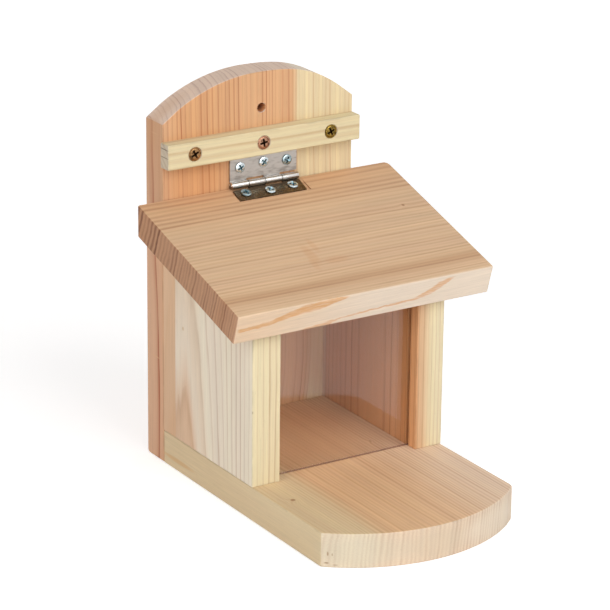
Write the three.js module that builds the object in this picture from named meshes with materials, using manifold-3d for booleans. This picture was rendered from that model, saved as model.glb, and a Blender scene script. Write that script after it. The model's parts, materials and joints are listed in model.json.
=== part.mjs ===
// A squirrel feeder box: planed softwood boards around a nut hopper with a clear front, a feeding
// platform with a curved nose, and a sloping lid on a steel butt hinge. A batten above the hinge
// stops the lid just short of upright, so that it always falls shut again.
// Millimetres, +X to the viewer's right, +Y to the back, +Z up. The origin is on the underside, in
// the middle of the box's width, halfway between the back face and the tip of the nose.
import * as THREE from 'three';
import { mergeVertices } from 'three/addons/utils/BufferGeometryUtils.js';
import Module from 'manifold-3d';

const wasm = await Module();
wasm.setup();

// Box and platform
const bodyWidth = 127;
const backThickness = 22;
const baseThickness = 20;
const sideThickness = 18;
const sideDepth = 99;
const sideRearHeight = 121.2;
const platformReach = 71;
const noseDepth = 24.2;

// Back board above the batten
const shoulderAboveBatten = 10;
const archRise = 22.5;
const backEdgeRound = 5;
const hangHoleRadius = 2.6;
const hangHoleBelowTip = 21.6;
const hangHoleShift = 1.7;

// Pane grooves and the clear pane
const grooveInset = 6.8;
const grooveWidth = 3.2;
const grooveDepth = 6;
const paneThickness = 2;
const paneLift = 3;
const paneSideGap = 0.6;

// Lid
const lidSlope = THREE.MathUtils.degToRad(16.6);
const lidThickness = 18;
const lidLeftOverhang = 16.6;
const lidRightOverhang = 24.9;
const lidFrontOverhang = 11.7;
const lidRearGap = 0.5;

// Stop batten
const battenHeight = 14.8;
const battenThickness = 8.4;
const battenAboveLeaf = 1.8;
const battenLeftProud = 1.2;
const battenRightProud = 0.2;
const battenScrewInset = 18.8;
const battenScrewShift = -1.1;

// Butt hinge: leaf widths are measured from the pin's axis
const hingeLength = 44.8;
const hingeShift = 2.4;
const backLeafWidth = 15.5;
const lidLeafWidth = 12.2;
const leafThickness = 1;
const leafSlotDepth = 2.9;
const leafScrewInset = 5.6;
const leafScrewEndInset = 6.7;
const middleScrewStep = 1.1;
const pinRadius = 0.85;
const pinGap = 0.25;
const knuckleGap = 0.4;
const knuckleSeamGap = 0.3;
const knuckleAboveLid = 0.4;
const knuckleCount = 4;
const leafTilt = THREE.MathUtils.degToRad(6);
const mortiseMargin = 0.6;
const mortiseRightSpare = 2.6;

// Screws: the countersunk head's radius and depth, its dome, how far its rim stands above what it
// holds, the shank's radius, the whole length, and the cross recess's arm, width and depth
const battenScrew = {
  headRadius: 4.1, headDepth: 2.6, dome: 0.3, rise: -0.3,
  shankRadius: 2, length: 22,
  recessArm: 2.3, recessWidth: 1.1, recessDepth: 1.6,
};
const leafScrew = {
  headRadius: 3.1, headDepth: 1.7, dome: 0.6, rise: 0.7,
  shankRadius: 1.4, length: 13,
  recessArm: 1.8, recessWidth: 0.8, recessDepth: 1.1,
};
const boardScrew = {
  headRadius: 4, headDepth: 2.6, dome: 0, rise: -0.4,
  shankRadius: 2, length: 40,
  recessArm: 2.2, recessWidth: 1.1, recessDepth: 1.6,
};

// Clearances, and how far a cutter runs past what it cuts
const seatGap = 0.3;
const screwGap = 0.3;
const overrun = 5;

// Where hidden fixings sit, as shares of the board that they go into
const sideScrewHeightShares = [0.35, 0.85];
const sideScrewDepthShares = [0.2, 0.72];
const backToBaseScrewShare = 0.25;

// Mesh fineness
const arcSteps = 20;
const holeSteps = 16;
const screwSteps = 16;
const knuckleSteps = 18;
const edgeRoundSteps = 3;
const domeSteps = 3;
const recessTaperShare = 0.45;

// Places that several pieces share
const halfBody = bodyWidth / 2;
const baseSideDepth = sideDepth + platformReach;
const rearY = (backThickness + baseSideDepth + noseDepth) / 2;
const backFrontY = rearY - backThickness;
const sideFrontY = backFrontY - sideDepth;
const sideInnerX = halfBody - sideThickness;
const sideMiddleX = halfBody - sideThickness / 2;
const grooveFrontY = sideFrontY + grooveInset;
const grooveRearY = grooveFrontY + grooveWidth;

// Height of the side panels' sloping top at a depth y
function sideTopZ(y) {
  return baseThickness + sideRearHeight + (y - backFrontY) * Math.tan(lidSlope);
}

// The lid's top rear edge, and its length down the slope
const lidRearY = backFrontY - lidRearGap;
const lidRearZ = sideTopZ(lidRearY) + (seatGap + lidThickness) / Math.cos(lidSlope);
const lidLength = (sideDepth + lidFrontOverhang - lidRearGap) / Math.cos(lidSlope);

// The pin's axis, in the lid's own frame and in the box's
const knuckleInnerRadius = pinRadius + pinGap;
const knuckleRadius = knuckleInnerRadius + leafThickness;
const axisAboveLid = knuckleRadius + knuckleAboveLid;
const axisY = backFrontY - seatGap - knuckleRadius;
const axisAlongLid = (axisY - lidRearY + axisAboveLid * Math.sin(lidSlope)) / Math.cos(lidSlope);
const axisZ = lidRearZ + axisAlongLid * Math.sin(lidSlope) + axisAboveLid * Math.cos(lidSlope);

// The batten sits just above the hinge, and the back board ends in an arch above the batten
const battenFrontY = backFrontY - battenThickness;
const battenBottomZ = axisZ + backLeafWidth + battenAboveLeaf;
const battenTopZ = battenBottomZ + battenHeight;
const battenLeftX = -halfBody - battenLeftProud;
const battenRightX = halfBody + battenRightProud;
const shoulderZ = battenTopZ + shoulderAboveBatten;
const archTopZ = shoulderZ + archRise;

const woodBack = new THREE.MeshStandardMaterial({ color: 0xe3b083, roughness: 0.72, metalness: 0 });
const woodSide = new THREE.MeshStandardMaterial({ color: 0xe2cfae, roughness: 0.72, metalness: 0 });
const woodBase = new THREE.MeshStandardMaterial({ color: 0xd9b78c, roughness: 0.72, metalness: 0 });
const woodLid = new THREE.MeshStandardMaterial({ color: 0xd6ac80, roughness: 0.72, metalness: 0 });
const woodBatten = new THREE.MeshStandardMaterial({ color: 0xead9a4, roughness: 0.72, metalness: 0 });
const hingeSteel = new THREE.MeshStandardMaterial({ color: 0xb9b4ae, roughness: 0.28, metalness: 1 });
const zincSteel = new THREE.MeshStandardMaterial({ color: 0xc9d2d6, roughness: 0.3, metalness: 1 });
const brassPlate = new THREE.MeshStandardMaterial({ color: 0xb98a4e, roughness: 0.34, metalness: 1 });
const clearPlastic = new THREE.MeshStandardMaterial({
  color: 0xf4f1ee, roughness: 0.05, metalness: 0, transparent: true, opacity: 0.3,
});

// A solid for cutting and joining, from a geometry, and back again
function solidOf(geometry) {
  const bare = geometry.clone();
  bare.deleteAttribute('normal');
  bare.deleteAttribute('uv');
  const merged = mergeVertices(bare);
  return new wasm.Manifold(new wasm.Mesh({
    numProp: 3,
    vertProperties: merged.attributes.position.array,
    triVerts: merged.index.array,
  }));
}

function geometryOf(solid) {
  const { vertProperties, triVerts, numProp } = solid.getMesh();
  const geometry = new THREE.BufferGeometry();
  geometry.setAttribute('position', new THREE.BufferAttribute(vertProperties, numProp));
  geometry.setIndex(new THREE.BufferAttribute(triVerts, 1));
  geometry.computeVertexNormals();
  return geometry;
}

function cut(geometry, cutters) {
  let solid = solidOf(geometry);
  for (const cutter of cutters) {
    solid = solid.subtract(solidOf(cutter));
  }
  return geometryOf(solid);
}

function join(geometries) {
  const [first, ...others] = geometries.map(solidOf);
  return geometryOf(others.reduce((whole, solid) => whole.add(solid), first));
}

// A box between two corners
function block(low, high) {
  const size = high.map((value, i) => value - low[i]);
  const middle = high.map((value, i) => (value + low[i]) / 2);
  return new THREE.BoxGeometry(...size).translate(...middle);
}

// An outline of (y, z) points, drawn out along X from one x to another
function alongX(outline, fromX, toX) {
  const shape = new THREE.Shape(outline.map(([y, z]) => new THREE.Vector2(y, z)));
  const body = new THREE.ExtrudeGeometry(shape, { depth: toX - fromX, bevelEnabled: false });
  const turned = new THREE.Matrix4().set(0, 0, 1, fromX, 1, 0, 0, 0, 0, 1, 0, 0, 0, 0, 0, 1);
  return body.applyMatrix4(turned);
}

// An outline as wide as the box, whose far end is an arc through both corners and the tip
function archedShape(corner, rise) {
  const radius = (halfBody ** 2 + rise ** 2) / (2 * rise);
  const spread = Math.asin(halfBody / radius);
  const shape = new THREE.Shape();
  shape.moveTo(-halfBody, 0);
  shape.lineTo(halfBody, 0);
  shape.lineTo(halfBody, corner);
  shape.absarc(0, corner + rise - radius, radius, Math.PI / 2 - spread, Math.PI / 2 + spread, false);
  return shape;
}

// A turned piece: (radius, z) points, spun round the Z axis
function lathed(points) {
  const profile = points.map(([radius, z]) => new THREE.Vector2(radius, z));
  return new THREE.LatheGeometry(profile, screwSteps).rotateX(Math.PI / 2);
}

// Screws point down -Z, with the rim of the head at z = 0
function shankAndHead({ headRadius, headDepth, shankRadius, length }, gap) {
  return [
    [0, -length - gap],
    [shankRadius + gap, -length + 2 * shankRadius - gap],
    [shankRadius + gap, -headDepth],
    [headRadius + gap, 0],
  ];
}

function domePoints({ headRadius, dome }) {
  const points = [];
  for (let step = 1; step < domeSteps && dome > 0; step += 1) {
    const angle = (step / domeSteps) * (Math.PI / 2);
    points.push([headRadius * Math.cos(angle), dome * Math.sin(angle)]);
  }
  return [...points, [0, dome]];
}

function crossRecess({ recessArm, recessWidth, recessDepth, dome }) {
  const half = recessWidth / 2;
  const points = [];
  for (let quarter = 0; quarter < 4; quarter += 1) {
    const turn = quarter * (Math.PI / 2);
    for (const [x, y] of [[half, half], [half, recessArm], [-half, recessArm]]) {
      points.push(new THREE.Vector2(x, y).rotateAround(new THREE.Vector2(), turn));
    }
  }
  const cross = new THREE.ExtrudeGeometry(new THREE.Shape(points), {
    depth: recessDepth + dome + overrun, bevelEnabled: false,
  }).translate(0, 0, -recessDepth);
  const places = cross.attributes.position;
  for (let i = 0; i < places.count; i += 1) {
    const share = places.getZ(i) < 0 ? recessTaperShare : 1;
    places.setXY(i, places.getX(i) * share, places.getY(i) * share);
  }
  return cross;
}

function screwGeometry(screw) {
  return cut(lathed([...shankAndHead(screw, 0), ...domePoints(screw)]), [crossRecess(screw)]);
}

// The room that a screw needs in what it holds, from its tip up past its head
function screwHole(screw, matrix) {
  const mouth = screw.headRadius + screwGap;
  const points = [...shankAndHead(screw, screwGap), [mouth, overrun], [0, overrun]];
  return lathed(points).applyMatrix4(matrix);
}

function holesFor(list, screw) {
  return list.map(({ matrix }) => screwHole(screw, matrix));
}

function placeAt(x, y, z, rotationX) {
  return new THREE.Matrix4().makeRotationX(rotationX).setPosition(x, y, z);
}

// The ways that a screw can point: into the back, forwards from the back, and up from below
const pointsBack = Math.PI / 2;
const pointsForward = -Math.PI / 2;
const pointsUp = Math.PI;
const pointsDown = 0;

const leftAndRight = [['left', -1], ['right', 1]];
const threeAcross = [['left', -1], ['middle', 0], ['right', 1]];

// The hinge leaves lie round the pin's axis, reaching towards -y in frames of their own. The back
// leaf's frame stands it against the back board, and the lid leaf's sinks its front edge in the lid.
const backLeafFrame = new THREE.Matrix4()
  .makeRotationFromEuler(new THREE.Euler(Math.PI / 2, 0, Math.PI))
  .setPosition(hingeShift, axisY, axisZ);
const lidLeafFrame = placeAt(hingeShift, axisAlongLid, axisAboveLid, leafTilt);

const leafScrewSpacing = hingeLength / 2 - leafScrewEndInset;

function leafScrews(prefix, leafWidth, frame) {
  return threeAcross.map(([word, side]) => {
    const fromAxis = leafWidth - leafScrewInset + (side === 0 ? middleScrewStep : 0);
    const place = placeAt(
      side * leafScrewSpacing, -fromAxis, leafScrew.rise - knuckleInnerRadius, pointsDown,
    );
    return { name: `${prefix}_${word}`, matrix: frame.clone().multiply(place) };
  });
}

const upright = new THREE.Matrix4();
const backLeafScrews = leafScrews('hinge_back_screw', backLeafWidth, backLeafFrame);
const lidLeafScrews = leafScrews('hinge_lid_screw', lidLeafWidth, lidLeafFrame);

const battenScrewReach = (battenRightX - battenLeftX) / 2 - battenScrewInset;
const battenScrews = threeAcross.map(([word, side]) => ({
  name: `batten_screw_${word}`,
  matrix: placeAt(
    (battenLeftX + battenRightX) / 2 + battenScrewShift + side * battenScrewReach,
    battenFrontY - battenScrew.rise,
    battenBottomZ + battenHeight / 2,
    pointsBack,
  ),
}));

const backToSideScrews = leftAndRight.flatMap(([word, side]) => (
  sideScrewHeightShares.map((share, i) => ({
    name: `back_screw_${word}_${['lower', 'upper'][i]}`,
    matrix: placeAt(
      side * sideMiddleX,
      rearY + boardScrew.rise,
      baseThickness + share * sideRearHeight,
      pointsForward,
    ),
  }))
));
const backToBaseScrews = leftAndRight.map(([word, side]) => ({
  name: `back_screw_${word}_bottom`,
  matrix: placeAt(
    side * backToBaseScrewShare * bodyWidth,
    rearY + boardScrew.rise,
    baseThickness / 2,
    pointsForward,
  ),
}));
const baseToSideScrews = leftAndRight.flatMap(([word, side]) => (
  sideScrewDepthShares.map((share, i) => ({
    name: `base_screw_${word}_${['rear', 'front'][i]}`,
    matrix: placeAt(side * sideMiddleX, backFrontY - share * sideDepth, -boardScrew.rise, pointsUp),
  }))
));

// Back board: arched top, edges rounded over at the back, one hole to hang it by
function backBoard() {
  const outline = new THREE.ExtrudeGeometry(archedShape(shoulderZ, archRise), {
    depth: backThickness,
    curveSegments: arcSteps,
    bevelSize: backEdgeRound,
    bevelThickness: backEdgeRound,
    bevelOffset: -backEdgeRound,
    bevelSegments: edgeRoundSteps,
  }).rotateX(Math.PI / 2).translate(0, rearY - backEdgeRound, 0);
  const spareFront = block(
    [-bodyWidth, rearY - backThickness - 2 * backEdgeRound - overrun, -overrun],
    [bodyWidth, backFrontY, archTopZ + overrun],
  );
  const hangHole = new THREE.CylinderGeometry(
    hangHoleRadius, hangHoleRadius, backThickness + 2 * overrun, holeSteps,
  ).translate(hangHoleShift, rearY - backThickness / 2, archTopZ - hangHoleBelowTip);
  return cut(outline, [
    spareFront,
    hangHole,
    ...holesFor(battenScrews, battenScrew),
    ...holesFor(backLeafScrews, leafScrew),
    ...holesFor([...backToSideScrews, ...backToBaseScrews], boardScrew),
  ]);
}

// Platform base: as wide as the box, with a curved nose
function baseBoard() {
  const board = new THREE.ExtrudeGeometry(archedShape(baseSideDepth, noseDepth), {
    depth: baseThickness, curveSegments: arcSteps, bevelEnabled: false,
  }).rotateX(Math.PI).translate(0, backFrontY, baseThickness);
  return cut(board, holesFor([...backToBaseScrews, ...baseToSideScrews], boardScrew));
}

// Side panels: the top follows the lid, and an upright groove near the front takes the pane
function sidePanel(side) {
  const outline = [
    [sideFrontY, baseThickness],
    [backFrontY, baseThickness],
    [backFrontY, sideTopZ(backFrontY)],
    [sideFrontY, sideTopZ(sideFrontY)],
  ];
  const [fromX, toX] = side < 0 ? [-halfBody, -sideInnerX] : [sideInnerX, halfBody];
  const grooveX = [side * (sideInnerX - overrun), side * (sideInnerX + grooveDepth)];
  const groove = block(
    [Math.min(...grooveX), grooveFrontY, baseThickness - overrun],
    [Math.max(...grooveX), grooveRearY, sideTopZ(backFrontY) + overrun],
  );
  const holes = holesFor([...backToSideScrews, ...baseToSideScrews], boardScrew);
  return cut(alongX(outline, fromX, toX), [groove, ...holes]);
}

// Clear pane: it stands on the base, near the grooves' rear walls, and can be lifted
function clearPane() {
  const halfWidth = sideInnerX + grooveDepth - paneSideGap;
  const paneRearY = grooveRearY - seatGap;
  const paneFrontY = paneRearY - paneThickness;
  const top = sideTopZ(paneFrontY) - paneLift;
  return block([-halfWidth, paneFrontY, baseThickness + seatGap], [halfWidth, paneRearY, top]);
}

// Stop batten, which the open lid leans on
function stopBatten() {
  const bar = block(
    [battenLeftX, battenFrontY, battenBottomZ],
    [battenRightX, backFrontY, battenTopZ],
  );
  return cut(bar, holesFor(battenScrews, battenScrew));
}

// Lid, in its own frame: the top face is z = 0 and runs down the slope towards -y, the front edge
// is square to it, and the rear edge is upright once the lid lies on its slope
function lidBoard() {
  const outline = [
    [-lidLength, 0],
    [-lidLength, -lidThickness],
    [-lidThickness * Math.tan(lidSlope), -lidThickness],
    [0, 0],
  ];
  const board = alongX(outline, -halfBody - lidLeftOverhang, halfBody + lidRightOverhang);
  const mortise = block(
    [-hingeLength / 2 - mortiseMargin, -lidLeafWidth - mortiseMargin, -knuckleRadius - seatGap],
    [hingeLength / 2 + mortiseRightSpare, overrun, overrun],
  ).applyMatrix4(lidLeafFrame);
  return cut(board, [mortise, ...holesFor(lidLeafScrews, leafScrew)]);
}

// A knuckle's section: the leaf's strip rolled round the pin's axis, which is at (0, 0). It
// leaves towards -y below the pin, and a narrow seam is left between its end and the leaf.
function knuckleOutline() {
  const seam = Math.asin((knuckleInnerRadius - knuckleSeamGap) / knuckleRadius);
  const sweep = 3 * (Math.PI / 2) + seam;
  const steps = [...Array(knuckleSteps + 1).keys()];
  const arc = (radius) => steps.map((i) => {
    const angle = sweep * (i / knuckleSteps) - Math.PI / 2;
    return [radius * Math.cos(angle), radius * Math.sin(angle)];
  });
  const stripEnd = -leafSlotDepth - leafThickness;
  return [
    [stripEnd, -knuckleRadius],
    ...arc(knuckleRadius),
    ...arc(knuckleInnerRadius).reverse(),
    [stripEnd, -knuckleInnerRadius],
  ];
}

// A hinge leaf round the pin's axis, in its own frame. It has every second knuckle, from the
// first one named here, counted along the way that xWay points.
function hingeLeaf(leafWidth, firstKnuckle, xWay, screws, frame) {
  const pieces = [block(
    [-hingeLength / 2, -leafWidth, -knuckleRadius],
    [hingeLength / 2, -leafSlotDepth, -knuckleInnerRadius],
  )];
  const knucklePitch = hingeLength / knuckleCount;
  for (let i = firstKnuckle; i < knuckleCount; i += 2) {
    const start = -hingeLength / 2 + i * knucklePitch;
    const from = start + (i > 0 ? knuckleGap / 2 : 0);
    const to = start + knucklePitch - (i < knuckleCount - 1 ? knuckleGap / 2 : 0);
    const ends = [xWay * from, xWay * to];
    pieces.push(alongX(knuckleOutline(), Math.min(...ends), Math.max(...ends)));
  }
  const inverse = frame.clone().invert();
  const holes = screws.map(({ matrix }) => screwHole(leafScrew, inverse.clone().multiply(matrix)));
  return cut(join(pieces), holes);
}

function hingePin() {
  return new THREE.CylinderGeometry(pinRadius, pinRadius, hingeLength, screwSteps).rotateZ(Math.PI / 2);
}

const feeder = new THREE.Group();
const lid = new THREE.Group();
lid.position.set(0, lidRearY, lidRearZ);
lid.rotation.x = lidSlope;
feeder.add(lid);

function add(name, geometry, material, matrix = upright, parent = feeder) {
  const mesh = new THREE.Mesh(geometry, material);
  mesh.name = name;
  matrix.decompose(mesh.position, mesh.quaternion, mesh.scale);
  parent.add(mesh);
}

function addScrews(list, screw, material, parent = feeder) {
  for (const { name, matrix } of list) {
    add(name, screwGeometry(screw), material, matrix, parent);
  }
}

add('back_board', backBoard(), woodBack);
add('platform_base', baseBoard(), woodBase);
add('left_side_panel', sidePanel(-1), woodSide);
add('right_side_panel', sidePanel(1), woodSide);
add('clear_pane', clearPane(), clearPlastic);
add('stop_batten', stopBatten(), woodBatten);
add('lid_board', lidBoard(), woodLid, upright, lid);

const backLeaf = hingeLeaf(backLeafWidth, 0, -1, backLeafScrews, backLeafFrame);
const lidLeaf = hingeLeaf(lidLeafWidth, 1, 1, lidLeafScrews, lidLeafFrame);
add('hinge_back_leaf', backLeaf, hingeSteel, backLeafFrame);
add('hinge_lid_leaf', lidLeaf, hingeSteel, lidLeafFrame, lid);
add('hinge_pin', hingePin(), hingeSteel, placeAt(hingeShift, axisY, axisZ, 0));

addScrews(battenScrews, battenScrew, brassPlate);
addScrews(backLeafScrews, leafScrew, zincSteel);
addScrews(lidLeafScrews, leafScrew, zincSteel, lid);
addScrews([...backToSideScrews, ...backToBaseScrews, ...baseToSideScrews], boardScrew, brassPlate);

export default feeder;
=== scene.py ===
import json
from math import asin, atan2, ceil, copysign, cos, pi, radians, sin, tan, tau

import bmesh
import bpy
from mathutils import Matrix, Vector


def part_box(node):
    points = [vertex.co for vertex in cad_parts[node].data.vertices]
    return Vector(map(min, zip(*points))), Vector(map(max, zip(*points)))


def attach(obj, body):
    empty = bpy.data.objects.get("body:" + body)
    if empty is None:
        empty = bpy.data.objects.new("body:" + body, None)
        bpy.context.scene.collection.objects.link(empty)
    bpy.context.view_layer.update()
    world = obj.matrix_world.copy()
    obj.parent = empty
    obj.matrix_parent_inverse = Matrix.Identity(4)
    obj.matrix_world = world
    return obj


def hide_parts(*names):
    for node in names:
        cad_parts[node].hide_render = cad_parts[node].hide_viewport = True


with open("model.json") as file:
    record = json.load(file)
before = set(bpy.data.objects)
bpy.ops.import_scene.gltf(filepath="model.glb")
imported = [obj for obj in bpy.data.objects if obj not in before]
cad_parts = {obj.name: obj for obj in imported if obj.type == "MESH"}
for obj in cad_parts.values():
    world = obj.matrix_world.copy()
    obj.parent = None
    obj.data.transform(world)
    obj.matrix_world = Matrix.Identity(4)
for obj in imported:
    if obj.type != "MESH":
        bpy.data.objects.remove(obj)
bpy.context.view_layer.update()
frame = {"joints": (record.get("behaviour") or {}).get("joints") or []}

MM = 0.001

# Camera, as fitted to the photograph: degrees, and metres in the part's frame
CAMERA_AZIMUTH = 32.38
CAMERA_ELEVATION = 19.72
CAMERA_ROLL = 0.67
CAMERA_TARGET = Vector((-0.00544, 0.0261, 0.10527))
CAMERA_DISTANCE = 1.71584
CAMERA_LENS = 179.11
CAMERA_SENSOR = 36.0

# Lamps: the way to each from the object, its distance, its width and height, and its power in watts
LAMPS = {
    "key": ((0.2, -1.0, 0.8), 1.45, (1.1, 1.1), 12.2),
    "front": ((-0.2, -1.0, 0.15), 1.7, (1.0, 0.5), 3.1),
    "fill": ((-1.0, -0.35, 0.5), 1.7, (1.2, 1.2), 12.8),
    "rear": ((1.0, 0.6, 0.25), 1.8, (0.9, 0.9), 4.2),
    "behind": ((0.1, 1.0, 0.15), 1.8, (0.9, 0.9), 5.0),
}
AMBIENT = 0.25

# The floor, in metres. Its glow goes from the first value to the second between two distances.
FLOOR_REACH = 4
FLOOR_LEVELS = (-0.02, -0.0002)
FLOOR_GLOW = (0.5, 0.8)
FLOOR_GLOW_DISTANCES = (0.5, 1.8)
FLOOR_GLOW_MIRRORED = 0.3

# The parts' boxes
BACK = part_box("back_board")
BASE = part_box("platform_base")
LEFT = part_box("left_side_panel")
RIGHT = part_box("right_side_panel")
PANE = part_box("clear_pane")
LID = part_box("lid_board")
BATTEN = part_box("stop_batten")
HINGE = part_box("hinge_pin")
PIN = Vector(next(j["pos_m"] for j in frame["joints"] if j["name"] == "lid_hinge"))

# Shapes that the boxes don't say. ARCH_FULLER is how far the arch's right side stands out past a true arc, and
# ARCH_ROOM keeps the arc's points clear of its corners.
LID_SLOPE = radians(16.6)
LID_FRONT_EDGE = (LID[0].y / MM, (LID[1].z - (LID[1].y - LID[0].y) * tan(LID_SLOPE)) / MM)
NOSE_DEPTH = 24.2 * MM
ARCH_RISE = 22.5 * MM
ARCH_FULLER = 1.4 * MM
ARCH_ROOM = 8 * MM

# The hanging hole's x and z, its radius, and its eased rim
HANG_HOLE = (1.7 * MM, BACK[1].z - 21.6 * MM)
HANG_HOLE_RADIUS = 2.6 * MM
HANG_RIM_RADIUS = 3 * MM
HANG_RIM_DEPTH = 0.8 * MM

# How far boards' corners and edges are rounded
BOARD_EASE = 0.8 * MM
BACK_REAR_ROUND = 4.6 * MM
BACK_REAR_GROWTH = 4.5 * MM
BACK_FRONT_ROUND = 0.5 * MM
NOSE_RIGHT_CORNER = 6 * MM
NOSE_LEFT_CORNER = 1.4 * MM
BASE_TOP_ROUND = 0.7 * MM
BASE_UNDER_ROUND = 0.6 * MM
PANEL_ROUND = 0.5 * MM
PANE_CORNER = 0.6 * MM
PANE_ROUND = 0.2 * MM
BATTEN_REAR_ROUND = 0.3 * MM
BATTEN_FRONT_ROUND = 0.7 * MM
LID_REAR_RIGHT_CORNER = 3 * MM
LID_REAR_LEFT_CORNER = 1 * MM

# The pane's groove: how deep it is, and its gap before and behind the pane
GROOVE_DEPTH = 6 * MM
GROOVE_FRONT_GAP = 0.9 * MM
GROOVE_REAR_GAP = 0.3 * MM

# The lid's rear end turns plumb between these two distances from it
PLUMB_START = 12 * MM
PLUMB_END = 6 * MM

# Hinge
LEAF_TILT = radians(6)
LEAF_THICK = 1 * MM
LEAF_CORNER = 0.4 * MM
LEAF_ROUND = 0.12 * MM
PIN_RADIUS = 0.85 * MM
PIN_SHORTER = 0.05 * MM
PIN_CHAMFER = (0.25 * MM, 0.2 * MM)
BARREL = 2.1 * MM
BARREL_HOLE = 1.1 * MM
SLOT_DEPTH = 2.9 * MM
BACK_LEAF_WIDTH = 15.5 * MM
LID_LEAF_WIDTH = 12.2 * MM
LEAF_SCREW_INSET = 5.6 * MM
LEAF_SCREW_END = 6.7 * MM
MIDDLE_STEP = 1.1 * MM
KNUCKLES = 4
KNUCKLE_GAP = 0.4 * MM
KNUCKLE_ROUND = 0.14 * MM
SEAM = 0.3 * MM
HINGE_HALF = (HINGE[1].x - HINGE[0].x) / 2
MORTISE_MARGIN = 0.6 * MM
MORTISE_RIGHT = 2.6 * MM
MORTISE_BELOW = 0.3 * MM

# Screws, in millimetres. They point down -Z, with the head's rim at z = 0. rise is how far that stands out of
# the face, arm, slot and deep are the recess's, and flare is how much the countersink widens at its top. groove
# is turned round the head: shares of the head's radius, and heights.
SCREWS = {
    "batten": dict(head=4.1, cone=2.6, dome=0.3, rise=-0.3, shank=2.0, length=22, arm=2.7, slot=1.3, deep=1.6,
                   flare=0.35, groove=((0.93, 0.1), (0.87, 0.08), (0.83, -0.2), (0.78, 0.06))),
    "leaf": dict(head=3.1, cone=1.7, dome=0.5, rise=0.6, shank=1.4, length=13, arm=2.1, slot=1.05, deep=1.1),
    "board": dict(head=4.0, cone=2.6, dome=0.0, rise=-0.4, shank=2.0, length=40, arm=2.2, slot=1.1, deep=1.6,
                  flare=0.3),
}
HEAD_GAP = 0.3
HEAD_RIM = 0.25
FLATTEST_DOME = 0.08
DOME_LIFT = 0.03
THREAD_PITCH = 2.2
RECESS_TAPER = 0.4

# Shares of the shank's radius: the thread's root, the tip's width and length, and the plain lengths
THREAD_ROOT = 0.78
TIP_WIDTH = 0.55
TIP_LENGTH = 1.6
PLAIN_LENGTH = 2

# Screws that are sunk in a board, and how far each one's cross is turned, in degrees
TURNS = {
    "batten_screw_left": 28, "batten_screw_middle": 10, "batten_screw_right": 24,
    "back_screw_left_lower": 2, "back_screw_left_upper": 37, "back_screw_left_bottom": 62,
    "base_screw_left_rear": 12, "base_screw_left_front": -13,
    "back_screw_right_lower": 28, "back_screw_right_upper": 63, "back_screw_right_bottom": 88,
    "base_screw_right_rear": 54, "base_screw_right_front": 29,
}
SIDES = {"left": -1, "middle": 0, "right": 1}

# How many flats a curve has
ARC_STEPS = 64
EASE_STEPS = 4
ROUND_STEPS = 8
SMALL_STEPS = 2
LATHE_STEPS = 48
CUTTER_STEPS = 40
KNUCKLE_STEPS = 40
DOME_STEPS = 7


def spin(angle, axis):
    return Matrix.Rotation(angle, 4, axis)


# Ways to stand an outline up: flat, facing the front, and on its side
FLAT = Matrix.Identity(4)
FACING_FRONT = spin(pi / 2, "X")
ON_ITS_SIDE = Matrix(((0, 0, 1, 0), (1, 0, 0, 0), (0, 1, 0, 0), (0, 0, 0, 1)))

# Ways for a screw to point
POINTS_BACK = spin(pi / 2, "X")
POINTS_FORWARD = spin(-pi / 2, "X")
POINTS_UP = spin(pi, "X")

# Where the hinge's leaves and the lid's top lie
BACK_LEAF = Matrix.Translation(PIN) @ spin(pi / 2, "X") @ spin(pi, "Z")
LID_LEAF = Matrix.Translation(PIN) @ spin(LID_SLOPE + LEAF_TILT, "X")
LID_TOP = Matrix.Translation((0, LID[1].y, LID[1].z)) @ spin(LID_SLOPE, "X")

# Faces that screws are sunk in, by the first word of their names: their kind, the axis across the face, where
# the face lies on it, and the way that they point
FACES = {
    "batten": ("batten", 1, BATTEN[0].y, POINTS_BACK),
    "back": ("board", 1, BACK[1].y, POINTS_FORWARD),
    "base": ("board", 2, BASE[0].z, POINTS_UP),
}


def middle(box):
    return (box[0] + box[1]) / 2


def ways(outline, i):
    """The directions into a closed outline's corner and away from it."""
    before, here, after = (Vector(outline[k % len(outline)][:2]) for k in (i - 1, i, i + 1))
    return (here - before).normalized(), (after - here).normalized()


def inset(outline, distance):
    """Moves each side of a closed outline inwards. A point is x, y, and how far its corner is eased."""
    moved = []
    for i, (x, y, ease) in enumerate(outline):
        into, away = ways(outline, i)
        normals = Vector((-into.y, into.x)) + Vector((-away.y, away.x))
        step = normals * (distance / (1 + into.dot(away)))
        moved.append((x + step.x, y + step.y, ease))
    return moved


def eased(outline, extra=0.0):
    """Turns each corner of a closed outline that has an easing into an arc."""
    points = []
    for i, (x, y, ease) in enumerate(outline):
        here = Vector((x, y))
        if not ease:
            points.append(here)
            continue
        radius = ease + extra
        into, away = ways(outline, i)
        turn = atan2(into.x * away.y - into.y * away.x, into.dot(away))
        start = here - into * radius * tan(abs(turn) / 2)
        centre = start + Vector((-into.y, into.x)) * copysign(radius, turn)
        for k in range(EASE_STEPS + 1):
            points.append(centre + Matrix.Rotation(turn * k / EASE_STEPS, 2) @ (start - centre))
    return points


def put(name, data):
    """A new object in the scene."""
    thing = bpy.data.objects.new(name, data)
    bpy.context.scene.collection.objects.link(thing)
    return thing


def to_object(name, shape):
    mesh = bpy.data.meshes.new(name)
    shape.to_mesh(mesh)
    shape.free()
    return put(name, mesh)


def rings_to_mesh(name, rings, stand=FLAT):
    """Skins a row of equal rings, and caps both ends."""
    shape = bmesh.new()
    loops = [[shape.verts.new(stand @ Vector(p)) for p in ring] for ring in rings]
    for low, high in zip(loops, loops[1:]):
        for i in range(len(low)):
            j = (i + 1) % len(low)
            shape.faces.new((low[i], low[j], high[j], high[i]))
    shape.faces.new(list(reversed(loops[0])))
    shape.faces.new(loops[-1])
    return to_object(name, shape)


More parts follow.
